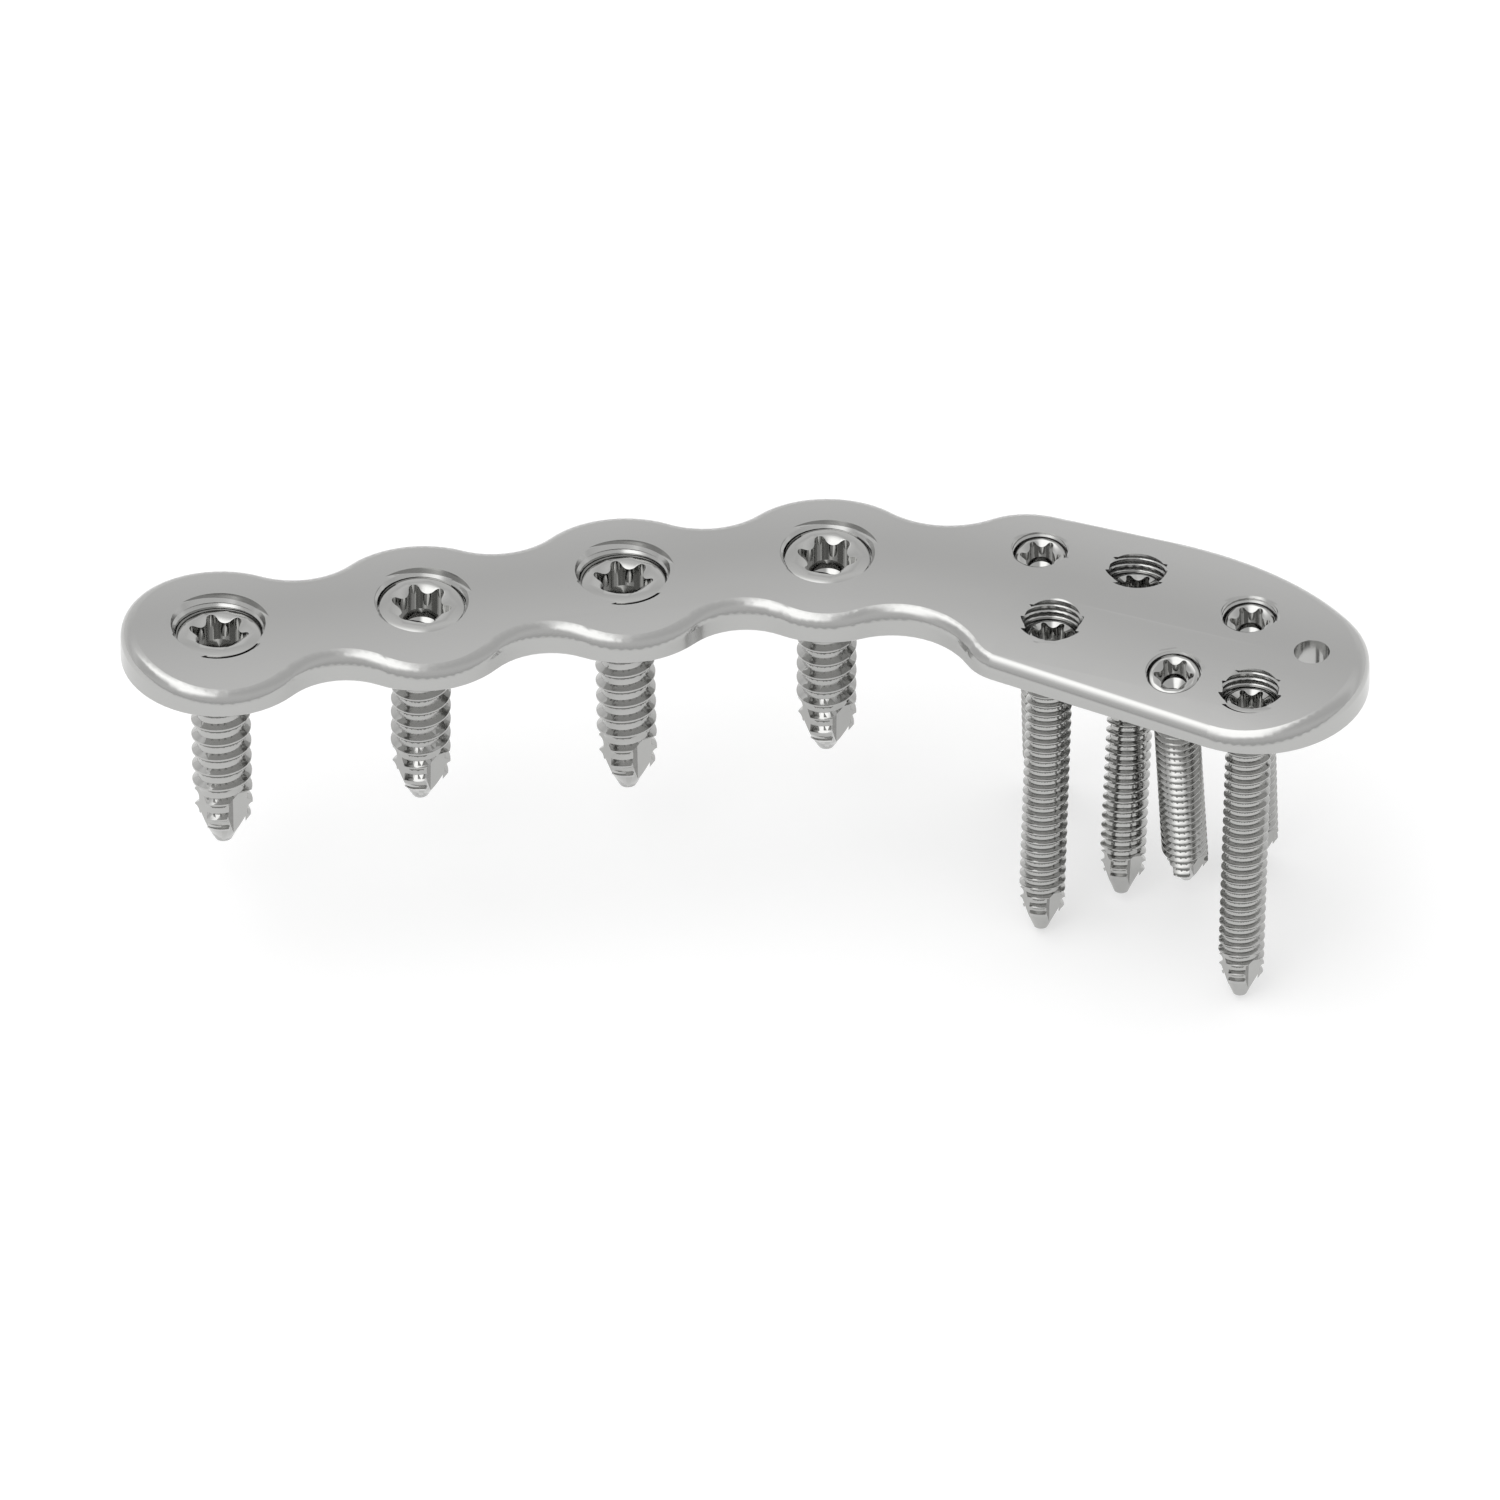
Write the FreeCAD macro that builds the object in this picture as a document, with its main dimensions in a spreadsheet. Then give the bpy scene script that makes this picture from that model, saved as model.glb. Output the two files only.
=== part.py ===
import FreeCAD, Part
import math
import os
import Sketcher

# Locking bone plate for the outer end of a collarbone, with its ten screws, in millimetres and degrees.
# The plate's flat underside, which lies on the bone, is z = 0 and +Z points away from the bone.
# The origin is where the guide wire hole's axis leaves the underside. The scalloped shaft runs towards -X,
# and the wide head lies round the origin.

SIZES = {
    # Plate blank and its crowned top
    "plate_height": 2.27,
    "blank_allowance": 0.6,
    "crown_radius": 32.0,
    "crown_reach": 13.0,
    "edge_round": 0.78,
    "foot_chamfer": 0.12,
    # Ridge line that the crown follows: shaft, bend at the neck, head
    "ridge_bend_x": -25.45,
    "ridge_bend_y": 10.94,
    "ridge_bend_radius": 34.0,
    "ridge_shaft_heading": 10.8,
    "ridge_head_heading": -22.8,
    "crown_run": 50.0,
    # Shaft: four round lobes, one round each locking hole, with waists between them
    "shaft_hole_x": -28.27,
    "shaft_hole_y": 9.18,
    "shaft_pitch": 12.05,
    "shaft_heading_1": 11.2,
    "shaft_heading_2": 12.4,
    "shaft_heading_3": 8.9,
    "lobe_radius": 5.75,
    "waist_radius": 4.2,
    # Neck and head outline
    "near_neck_radius": 4.95,
    "rear_neck_radius": 4.58,
    "near_corner_radius": 3.0,
    "near_edge_length": 14.0,
    "near_edge_heading": -26.3,
    "end_x": -3.27,
    "end_y": -0.18,
    "end_radius": 6.64,
    "rear_edge_radius": 18.8,
    "rear_edge_heading": 162.6,
    "shoulder_x": -16.38,
    "shoulder_y": 9.25,
    "shoulder_radius": 4.44,
    "guide_wire_hole_radius": 1.05,
    # Locking seats: height of a seated screw's rim above the bone, and the gap round its cap
    "shaft_seat_height": 1.93,
    "head_seat_height": 1.6,
    "seat_clearance": 0.04,
    # Seats in the head: place of each rim
    "head_hole_1_x": -15.85,
    "head_hole_1_y": 9.67,
    "head_hole_2_x": -10.2,
    "head_hole_2_y": 7.47,
    "head_hole_3_x": -15.18,
    "head_hole_3_y": 2.98,
    "head_hole_4_x": -3.62,
    "head_hole_4_y": 3.65,
    "head_hole_5_x": -8.06,
    "head_hole_5_y": -1.28,
    "head_hole_6_x": -3.59,
    "head_hole_6_y": -3.24,
    # Lean of each screw about a line of the stated heading, positive with its cap towards the near side
    "shaft_lean_heading": 10.8,
    "shaft_lean_1": -5.8,
    "shaft_lean_2": 1.5,
    "shaft_lean_3": -5.8,
    "shaft_lean_4": 1.5,
    "head_lean_heading": -9.0,
    "head_lean_1": 7.1,
    "head_lean_2": -17.8,
    "head_lean_3": -12.0,
    "head_lean_4": 6.5,
    "head_lean_5": 14.0,
    "head_lean_6": -11.6,
    # Turn of a screw about its own axis
    "shaft_spin": -23.8,
    "head_spin": 4.0,
    # Shaft screw, 3.5 mm thread
    "shaft_screw_length": 14.6,
    "shaft_thread_radius": 1.75,
    "shaft_cap_radius": 2.56,
    "shaft_cap_face_radius": 2.2,
    "shaft_cap_bevel": 0.12,
    "shaft_cap_depth": 2.15,
    "shaft_cap_taper": 10.0,
    "shaft_tip_length": 1.9,
    "shaft_tip_radius": 0.5,
    "shaft_recess_radius": 1.7,
    "shaft_recess_lobe_radius": 0.3,
    "shaft_recess_valley_radius": 0.64,
    "shaft_recess_depth": 1.3,
    "shaft_pilot_radius": 1.1,
    "shaft_pilot_depth": 1.95,
    "shaft_flute_root_radius": 0.86,
    "shaft_flute_angle": -33.0,
    "shaft_flute_cut_angle": -94.0,
    "shaft_flute_clear_angle": 38.0,
    "shaft_flute_length": 3.4,
    "shaft_flute_runout": 1.5,
    # Head screw, 2.7 mm thread
    "head_screw_length": 19.7,
    "head_thread_radius": 1.35,
    "head_cap_radius": 1.575,
    "head_cap_face_radius": 1.36,
    "head_cap_bevel": 0.1,
    "head_cap_depth": 1.85,
    "head_cap_taper": 5.0,
    "head_tip_length": 1.6,
    "head_tip_radius": 0.4,
    "head_recess_radius": 1.18,
    "head_recess_lobe_radius": 0.2,
    "head_recess_valley_radius": 0.48,
    "head_recess_depth": 0.95,
    "head_pilot_radius": 0.76,
    "head_pilot_depth": 1.35,
    "head_flute_root_radius": 0.66,
    "head_flute_angle": -41.0,
    "head_flute_cut_angle": -102.0,
    "head_flute_clear_angle": 30.0,
    "head_flute_length": 2.4,
    "head_flute_runout": 1.1,
}

SHAFT_SCREWS = 4
HEAD_SCREWS = 6
FLUTES = 3
RECESS_LOBES = 6
TOUCH = 1e-4

doc = FreeCAD.newDocument("bone_plate")
sheet = doc.addObject("Spreadsheet::Sheet", "Sizes")
for row, (name, number) in enumerate(SIZES.items(), start=1):
    sheet.set(f"A{row}", name)
    sheet.set(f"B{row}", str(number))
    sheet.setAlias(f"B{row}", name)
doc.recompute()


def value(formula):
    """Number that a formula of sheet cells gives now."""
    return float(sheet.evalExpression(formula))


def plane_of(body, role):
    """One of the body's own origin planes or axes."""
    return next(item for item in body.Origin.OriginFeatures if item.Role == role)


def new_sketch(body, name, place=None):
    """Empty sketch on the body's level origin plane, moved off it by a placement formula."""
    sketch = body.newObject("Sketcher::SketchObject", name)
    sketch.AttachmentSupport = [(plane_of(body, "XY_Plane"), "")]
    sketch.MapMode = "FlatFace"
    if place:
        sketch.setExpression("AttachmentOffset", place)
    sketch.Visibility = False
    return sketch


def bind(sketch, constraint, name, formula):
    """Add one named constraint whose value follows the sheet."""
    index = sketch.addConstraint(constraint)
    sketch.renameConstraint(index, name)
    sketch.setExpression(f"Constraints.{name}", formula)


def pin_point(sketch, geometry, point, name, x, y):
    """Hold a point of a sketch at two formulas, or on an axis where the formula is 0."""
    if x == "0":
        sketch.addConstraint(Sketcher.Constraint("PointOnObject", geometry, point, -2))
    else:
        across = Sketcher.Constraint("DistanceX", -1, 1, geometry, point, value(x))
        bind(sketch, across, f"{name}_x", x)
    if y == "0":
        sketch.addConstraint(Sketcher.Constraint("PointOnObject", geometry, point, -1))
    else:
        up = Sketcher.Constraint("DistanceY", -1, 1, geometry, point, value(y))
        bind(sketch, up, f"{name}_y", y)


def polygon_sketch(body, name, corners, place=None):
    """Closed polygon whose corners are pairs of formulas."""
    sketch = new_sketch(body, name, place)
    points = [FreeCAD.Vector(value(x), value(y), 0) for x, y in corners]
    count = len(points)
    for index in range(count):
        sketch.addGeometry(Part.LineSegment(points[index], points[(index + 1) % count]))
    for index in range(count):
        following = (index + 1) % count
        sketch.addConstraint(Sketcher.Constraint("Coincident", index, 2, following, 1))
    for index, (x, y) in enumerate(corners):
        pin_point(sketch, index, 1, f"corner_{index}", x, y)
    return sketch


class Bend:
    """Arc of a tangent chain: centre as numbers, radius as a formula, centre formulas where it is fixed."""

    def __init__(self, centre, radius, convex=True, pinned=None):
        self.centre = FreeCAD.Vector(centre[0], centre[1], 0)
        self.formula = radius
        self.radius = value(radius)
        self.convex = convex
        self.pinned = pinned


class Run:
    """Straight part of a tangent chain, from start to end, with its heading and perhaps its length."""

    def __init__(self, start, end, heading, length=None):
        self.start = FreeCAD.Vector(start[0], start[1], 0)
        self.end = FreeCAD.Vector(end[0], end[1], 0)
        self.heading = heading
        self.length = length


def meeting_point(before, after):
    """Point where two neighbours of a chain touch."""
    if isinstance(before, Run):
        return before.end
    if isinstance(after, Run):
        return after.start
    towards = (after.centre - before.centre).normalize()
    if before.convex == after.convex and before.radius < after.radius:
        return before.centre - towards * before.radius
    return before.centre + towards * before.radius


def chain_sketch(body, name, chain, place=None):
    """Closed outline of arcs and lines, each tangent to the next, drawn anticlockwise."""
    sketch = new_sketch(body, name, place)
    count = len(chain)
    ends = []
    for index, part in enumerate(chain):
        start = meeting_point(chain[index - 1], part)
        end = meeting_point(part, chain[(index + 1) % count])
        if isinstance(part, Run):
            sketch.addGeometry(Part.LineSegment(start, end))
            ends.append((1, 2))
            continue
        first, last = (start, end) if part.convex else (end, start)
        from_angle = math.atan2(first.y - part.centre.y, first.x - part.centre.x)
        to_angle = math.atan2(last.y - part.centre.y, last.x - part.centre.x)
        if to_angle < from_angle:
            to_angle += 2 * math.pi
        circle = Part.Circle(part.centre, FreeCAD.Vector(0, 0, 1), part.radius)
        sketch.addGeometry(Part.ArcOfCircle(circle, from_angle, to_angle))
        ends.append((1, 2) if part.convex else (2, 1))
    joints = []
    for index in range(count):
        following = (index + 1) % count
        joints.append(Sketcher.Constraint("Tangent", index, ends[index][1], following, ends[following][0]))
    sketch.addConstraint(joints)
    for index, part in enumerate(chain):
        if isinstance(part, Run):
            heading = Sketcher.Constraint("Angle", index, math.radians(value(part.heading)))
            bind(sketch, heading, f"heading_{index}", f"{part.heading} * 1 deg")
            if part.length:
                length = Sketcher.Constraint("Distance", index, value(part.length))
                bind(sketch, length, f"length_{index}", part.length)
            continue
        bind(sketch, Sketcher.Constraint("Radius", index, part.radius), f"radius_{index}", part.formula)
        if part.pinned:
            pin_point(sketch, index, 3, f"centre_{index}", *part.pinned)
    return sketch


def fillet_centre(first, second, radius):
    """Centre of an arc outside two circles that touches both, on the right of the way from first to second."""
    gap = second.centre - first.centre
    span = gap.Length
    reach = first.radius + radius
    along = (span**2 + reach**2 - (second.radius + radius) ** 2) / (2 * span)
    aside = math.sqrt(reach**2 - along**2)
    ahead = gap.normalize()
    return (
        first.centre.x + ahead.x * along + ahead.y * aside,
        first.centre.y + ahead.y * along - ahead.x * aside,
    )


def waist(first, second, radius):
    """Concave arc between two bends."""
    return Bend(fillet_centre(first, second, value(radius)), radius, convex=False)


def heading_vector(angle):
    """Level unit vector at an angle from +X."""
    return FreeCAD.Vector(math.cos(math.radians(angle)), math.sin(math.radians(angle)), 0)


def shaft_hole_place(number):
    """Formulas for the rim centre of a shaft hole. Hole 4 is at the neck, and the others are stepped off."""
    x, y = "Sizes.shaft_hole_x", "Sizes.shaft_hole_y"
    for step in range(SHAFT_SCREWS - 1, number - 1, -1):
        x += f" - Sizes.shaft_pitch * cos(Sizes.shaft_heading_{step})"
        y += f" - Sizes.shaft_pitch * sin(Sizes.shaft_heading_{step})"
    return x, y


def plate_outline(body):
    """Outline of the plate: lobes and waists on the near side, the head, and back along the rear side."""
    places = [shaft_hole_place(number) for number in range(1, SHAFT_SCREWS + 1)]
    centres = [(value(x), value(y)) for x, y in places]

    def lobe(index):
        return Bend(centres[index], "Sizes.lobe_radius", pinned=places[index])

    end = Bend(
        (value("Sizes.end_x"), value("Sizes.end_y")),
        "Sizes.end_radius",
        pinned=("Sizes.end_x", "Sizes.end_y"),
    )
    near_ahead = heading_vector(value("Sizes.near_edge_heading"))
    near_outward = FreeCAD.Vector(near_ahead.y, -near_ahead.x, 0)
    near_end = end.centre + near_outward * end.radius
    near_start = near_end - near_ahead * value("Sizes.near_edge_length")
    corner_centre = near_start - near_outward * value("Sizes.near_corner_radius")
    corner = Bend((corner_centre.x, corner_centre.y), "Sizes.near_corner_radius")

    shoulder = Bend(
        (value("Sizes.shoulder_x"), value("Sizes.shoulder_y")),
        "Sizes.shoulder_radius",
        pinned=("Sizes.shoulder_x", "Sizes.shoulder_y"),
    )
    rear_ahead = heading_vector(value("Sizes.rear_edge_heading"))
    rear_outward = FreeCAD.Vector(rear_ahead.y, -rear_ahead.x, 0)
    rear_end = shoulder.centre + rear_outward * shoulder.radius
    sweep_radius = value("Sizes.rear_edge_radius")
    to_sweep = rear_end - rear_outward * sweep_radius - end.centre
    behind = to_sweep.dot(rear_ahead)
    spare = to_sweep.Length**2 - (sweep_radius - end.radius) ** 2
    rear_run = behind - math.sqrt(behind**2 - spare)
    rear_start = rear_end - rear_ahead * rear_run
    sweep_centre = rear_start - rear_outward * sweep_radius
    sweep = Bend((sweep_centre.x, sweep_centre.y), "Sizes.rear_edge_radius")

    chain = [lobe(0)]
    for index in range(1, SHAFT_SCREWS):
        following = lobe(index)
        chain += [waist(chain[-1], following, "Sizes.waist_radius"), following]
    chain.append(waist(chain[-1], corner, "Sizes.near_neck_radius"))
    chain.append(corner)
    chain.append(Run(near_start, near_end, "Sizes.near_edge_heading", "Sizes.near_edge_length"))
    chain += [end, sweep]
    chain.append(Run(rear_start, rear_end, "Sizes.rear_edge_heading"))
    chain.append(shoulder)
    last_lobe = lobe(SHAFT_SCREWS - 1)
    chain += [waist(shoulder, last_lobe, "Sizes.rear_neck_radius"), last_lobe]
    for index in range(SHAFT_SCREWS - 2, -1, -1):
        following = lobe(index)
        chain.append(waist(chain[-1], following, "Sizes.waist_radius"))
        if index:
            chain.append(following)
    return chain_sketch(body, "plate_outline", chain)


def crown_sketch(body, name, heading):
    """Section of what is milled off the blank across a heading: all above an arc that peaks on the ridge line.

    Its upright axis is the one that the ridge line bends about, so that it also serves to turn the bend.
    """
    bend = "Sizes.ridge_bend_radius"
    setback = f"{bend} * tan((Sizes.ridge_shaft_heading - Sizes.ridge_head_heading) / 2)"
    way = "Sizes.ridge_shaft_heading"
    x = f"Sizes.ridge_bend_x - cos({way}) * {setback} + sin({way}) * {bend}"
    y = f"Sizes.ridge_bend_y - sin({way}) * {setback} - cos({way}) * {bend}"
    sketch = new_sketch(body, name, f"placement(vector({x}; {y}; 0); rotation({heading} + 90; 0; 90))")
    ridge, reach, radius = value(bend), value("Sizes.crown_reach"), value("Sizes.crown_radius")
    peak = value("Sizes.plate_height")
    top = 2 * value("Sizes.plate_height + Sizes.blank_allowance")
    edge = peak - radius + math.sqrt(radius**2 - reach**2)
    half = math.asin(reach / radius)
    circle = Part.Circle(FreeCAD.Vector(ridge, peak - radius, 0), FreeCAD.Vector(0, 0, 1), radius)
    sketch.addGeometry(Part.ArcOfCircle(circle, math.pi / 2 - half, math.pi / 2 + half))
    corners = [
        FreeCAD.Vector(ridge - reach, edge, 0),
        FreeCAD.Vector(ridge - reach, top, 0),
        FreeCAD.Vector(ridge + reach, top, 0),
        FreeCAD.Vector(ridge + reach, edge, 0),
    ]
    for first, second in zip(corners, corners[1:]):
        sketch.addGeometry(Part.LineSegment(first, second))
    links = [(0, 2, 1, 1), (1, 2, 2, 1), (2, 2, 3, 1), (3, 2, 0, 1)]
    for link in links:
        sketch.addConstraint(Sketcher.Constraint("Coincident", *link))
    sketch.addConstraint(Sketcher.Constraint("Vertical", 1))
    sketch.addConstraint(Sketcher.Constraint("Vertical", 3))
    pin_point(sketch, 0, 3, "axis", bend, "Sizes.plate_height - Sizes.crown_radius")
    bind(sketch, Sketcher.Constraint("Radius", 0, radius), "crown", "Sizes.crown_radius")
    top_formula = "2 * (Sizes.plate_height + Sizes.blank_allowance)"
    pin_point(sketch, 2, 1, "near_top", f"{bend} - Sizes.crown_reach", top_formula)
    pin_point(sketch, 2, 2, "rear_top", f"{bend} + Sizes.crown_reach", top_formula)
    return sketch


def mill_crown(body):
    """Crown the top: straight over the shaft, turned about the neck, and straight over the head."""
    shaft_section = crown_sketch(body, "shaft_crown_section", "Sizes.ridge_shaft_heading")
    shaft_crown = body.newObject("PartDesign::Pocket", "shaft_crown")
    shaft_crown.Profile = shaft_section
    shaft_crown.setExpression("Length", "Sizes.crown_run")
    doc.recompute()
    neck_crown = body.newObject("PartDesign::Groove", "neck_crown")
    neck_crown.Profile = shaft_section
    neck_crown.ReferenceAxis = (shaft_section, ["V_Axis"])
    neck_crown.Reversed = True
    neck_crown.setExpression("Angle", "Sizes.ridge_shaft_heading - Sizes.ridge_head_heading")
    doc.recompute()
    head_crown = body.newObject("PartDesign::Pocket", "head_crown")
    head_crown.Profile = crown_sketch(body, "head_crown_section", "Sizes.ridge_head_heading")
    head_crown.Reversed = True
    head_crown.setExpression("Length", "Sizes.crown_run")
    doc.recompute()
    return head_crown


def upright_walls(shape):
    """Faces of a solid that stand square to the underside."""
    walls = []
    for face in shape.Faces:
        u_from, u_to, v_from, v_to = face.ParameterRange
        normal = face.normalAt((u_from + u_to) / 2, (v_from + v_to) / 2)
        if abs(normal.z) < TOUCH:
            walls.append(face)
    return walls


def rim_edges(shape, at_foot):
    """Names of the edges round the walls, at the underside or at the crowned top."""
    walls = upright_walls(shape)
    names = []
    for index, edge in enumerate(shape.Edges, start=1):
        low = edge.BoundBox.ZMax < TOUCH
        upright = edge.BoundBox.ZMin < TOUCH < edge.BoundBox.ZMax
        if upright or low != at_foot:
            continue
        if any(edge.isSame(side) for wall in walls for side in wall.Edges):
            names.append(f"Edge{index}")
    return names


def finish_rim(body, base, name, at_foot, kind, size_name, size):
    """Fillet or chamfer one rim of the plate."""
    finish = body.newObject(f"PartDesign::{kind}", name)
    finish.Base = (base, rim_edges(base.Shape, at_foot))
    finish.setExpression(size_name, size)
    doc.recompute()
    return finish


def seat_place(kind, number):
    """Placement formula of a seated screw, whose own origin is the rim of its cap."""
    if kind == "shaft":
        x, y = shaft_hole_place(number)
    else:
        x, y = f"Sizes.head_hole_{number}_x", f"Sizes.head_hole_{number}_y"
    lean = f"rotation(Sizes.{kind}_lean_heading; 0; Sizes.{kind}_lean_{number})"
    return f"vector({x}; {y}; Sizes.{kind}_seat_height)", lean


def cut_seat(body, kind, number):
    """Conical locking hole on a leaned axis, wider than the screw's cap by the seat clearance."""
    point, lean = seat_place(kind, number)
    place = f"placement({point}; {lean} * rotation(0; 0; 90))"
    above = "(Sizes.plate_height + Sizes.blank_allowance)"
    below = f"(2 * Sizes.{kind}_seat_height)"
    rim = f"Sizes.{kind}_cap_radius + Sizes.seat_clearance"
    slope = f"tan(Sizes.{kind}_cap_taper)"
    corners = [
        ("0", above),
        (f"{rim} + {above} * {slope}", above),
        (f"{rim} - {below} * {slope}", f"-{below}"),
        ("0", f"-{below}"),
    ]
    profile = polygon_sketch(body, f"{kind}_seat_{number}_section", corners, place)
    seat = body.newObject("PartDesign::Groove", f"{kind}_seat_{number}")
    seat.Profile = profile
    seat.ReferenceAxis = (profile, ["V_Axis"])
    seat.Angle = 360.0
    doc.recompute()
    return seat


def make_plate():
    """Plate: blank to outline, crown milled along the ridge line, rims rounded, holes cut."""
    body = doc.addObject("PartDesign::Body", "plate")
    body.Label = "plate"
    blank = body.newObject("PartDesign::Pad", "blank")
    blank.Profile = plate_outline(body)
    blank.setExpression("Length", "Sizes.plate_height + Sizes.blank_allowance")
    doc.recompute()
    crown = mill_crown(body)
    rounded = finish_rim(body, crown, "rounded_edge", False, "Fillet", "Radius", "Sizes.edge_round")
    finish_rim(body, rounded, "foot_chamfer", True, "Chamfer", "Size", "Sizes.foot_chamfer")
    for number in range(1, SHAFT_SCREWS + 1):
        cut_seat(body, "shaft", number)
    for number in range(1, HEAD_SCREWS + 1):
        cut_seat(body, "head", number)
    wire_sketch = new_sketch(body, "guide_wire_section")
    wire_radius = value("Sizes.guide_wire_hole_radius")
    wire_sketch.addGeometry(Part.Circle(FreeCAD.Vector(), FreeCAD.Vector(0, 0, 1), wire_radius))
    wire_sketch.addConstraint(Sketcher.Constraint("Coincident", 0, 3, -1, 1))
    bore = Sketcher.Constraint("Radius", 0, wire_radius)
    bind(wire_sketch, bore, "bore", "Sizes.guide_wire_hole_radius")
    wire_hole = body.newObject("PartDesign::Pocket", "guide_wire_hole")
    wire_hole.Profile = wire_sketch
    wire_hole.Type = "ThroughAll"
    wire_hole.Reversed = True
    doc.recompute()
    return body


def turn_profile(body, name, corners, feature_type):
    """Turned or bored form: a half section revolved about the screw's axis."""
    section = polygon_sketch(body, f"{name}_section", corners, "placement(vector(0; 0; 0); rotation(0; 0; 90))")
    feature = body.newObject(feature_type, name)
    feature.Profile = section
    feature.ReferenceAxis = (section, ["V_Axis"])
    feature.Angle = 360.0
    doc.recompute()
    return feature


def recess_sketch(body, kind):
    """Six-lobed driver recess: round lobes with rounded valleys between them."""
    lobe_way = f"(Sizes.{kind}_recess_radius - Sizes.{kind}_recess_lobe_radius)"
    step = 360 / RECESS_LOBES
    lobes = []
    for number in range(RECESS_LOBES):
        place = (f"{lobe_way} * cos({number * step})", f"{lobe_way} * sin({number * step})")
        centre = [value(axis) for axis in place]
        lobes.append(Bend(centre, f"Sizes.{kind}_recess_lobe_radius", pinned=place))
    chain = []
    for number, lobe in enumerate(lobes):
        following = lobes[(number + 1) % RECESS_LOBES]
        chain += [lobe, waist(lobe, following, f"Sizes.{kind}_recess_valley_radius")]
    place = f"placement(vector(0; 0; Sizes.{kind}_cap_bevel); rotation(0; 0; 0))"
    return chain_sketch(body, "recess_outline", chain, place)


def cut_recess(body, kind):
    """Driver recess: a pilot hole, and the six-lobed outline broached round it."""
    size = f"Sizes.{kind}_"
    pilot_corners = [
        ("0", f"{size}cap_bevel"),
        (f"{size}pilot_radius", f"{size}cap_bevel"),
        (f"{size}pilot_radius", f"-{size}pilot_depth"),
        ("0", f"-{size}pilot_depth"),
    ]
    turn_profile(body, "pilot_hole", pilot_corners, "PartDesign::Groove")
    recess = body.newObject("PartDesign::Pocket", "recess")
    recess.Profile = recess_sketch(body, kind)
    recess.setExpression("Length", f"{size}recess_depth")
    doc.recompute()


def flute_corners(kind, outward="0"):
    """Notch of one cutting flute: its root, and its two sides carried out past the thread."""
    root = f"(Sizes.{kind}_flute_root_radius + {outward})"
    root_x = f"{root} * cos(Sizes.{kind}_flute_angle)"
    root_y = f"{root} * sin(Sizes.{kind}_flute_angle)"
    past = f"(2 * Sizes.{kind}_thread_radius)"
    corners = [(root_x, root_y)]
    for side in ("cut", "clear"):
        angle = f"Sizes.{kind}_flute_{side}_angle"
        corners.append((f"{root_x} + {past} * cos({angle})", f"{root_y} + {past} * sin({angle})"))
    return corners


def flute_section(body, kind, name, height, outward="0"):
    """Flute notch drawn square to the axis at a height above the tip."""
    level = f"{height} - Sizes.{kind}_screw_length"
    place = f"placement(vector(0; 0; {level}); rotation(0; 0; 0))"
    return polygon_sketch(body, name, flute_corners(kind, outward), place)


def make_screw(kind, number):
    """Locking screw: turned blank, driver recess, and self-tapping flutes at the tip."""
    name = f"{kind}_screw_{number}"
    body = doc.addObject("PartDesign::Body", name)
    body.Label = name
    size = f"Sizes.{kind}_"
    cap_foot = f"{size}cap_radius - {size}cap_depth * tan({size}cap_taper)"
    tip_start = f"{size}tip_length - {size}screw_length"
    blank_corners = [
        ("0", f"{size}cap_bevel"),
        (f"{size}cap_face_radius", f"{size}cap_bevel"),
        (f"{size}cap_radius", "0"),
        (cap_foot, f"-{size}cap_depth"),
        (f"{size}thread_radius", f"-{size}cap_depth"),
        (f"{size}thread_radius", tip_start),
        (f"{size}tip_radius", f"-{size}screw_length"),
        ("0", f"-{size}screw_length"),
    ]
    turn_profile(body, "turned_blank", blank_corners, "PartDesign::Revolution")
    cut_recess(body, kind)
    flute = body.newObject("PartDesign::Pocket", "flute")
    flute.Profile = flute_section(body, kind, "flute_section", "0")
    flute.Reversed = True
    flute.setExpression("Length", f"{size}flute_length")
    doc.recompute()
    runout = body.newObject("PartDesign::SubtractiveLoft", "flute_runout")
    runout.Profile = flute_section(body, kind, "runout_foot", f"{size}flute_length")
    runout_top = f"{size}flute_length + {size}flute_runout"
    outward = f"{size}thread_radius"
    runout.Sections = [flute_section(body, kind, "runout_top", runout_top, outward)]
    runout.Ruled = True
    doc.recompute()
    pattern = body.newObject("PartDesign::PolarPattern", "flutes")
    pattern.Originals = [flute, runout]
    pattern.Axis = (plane_of(body, "Z_Axis"), [""])
    pattern.Angle = 360.0
    pattern.Occurrences = FLUTES
    body.Tip = pattern
    doc.recompute()
    point, lean = seat_place(kind, number)
    body.setExpression("Placement", f"placement({point}; {lean} * rotation({size}spin; 0; 0))")
    doc.recompute()
    return body


def check(bodies):
    """Stop if any object failed or any solid is not whole."""
    for item in doc.Objects:
        if "Invalid" in item.State or "Error" in item.State:
            raise RuntimeError(f"{item.Name} failed: {item.State}")
    for body in bodies:
        shape = body.Shape
        if shape.isNull() or not shape.isValid() or len(shape.Solids) != 1:
            raise RuntimeError(f"{body.Label} is not one valid solid")
        last_volume = None
        for feature in body.Group:
            if feature.isDerivedFrom("Sketcher::SketchObject"):
                continue
            volume = feature.Shape.Volume
            if last_volume is not None and volume >= last_volume:
                raise RuntimeError(f"{body.Label}: {feature.Name} removed nothing")
            last_volume = volume
        print(f"{body.Label}: {shape.Volume:.2f} mm3, {len(shape.Faces)} faces")


pieces = [make_plate()]
pieces += [make_screw("shaft", number) for number in range(1, SHAFT_SCREWS + 1)]
pieces += [make_screw("head", number) for number in range(1, HEAD_SCREWS + 1)]
doc.recompute()
check(pieces)

os.makedirs("parts", exist_ok=True)
for piece in pieces:
    piece.Shape.exportStep(f"parts/{piece.Label}.step")
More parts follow.
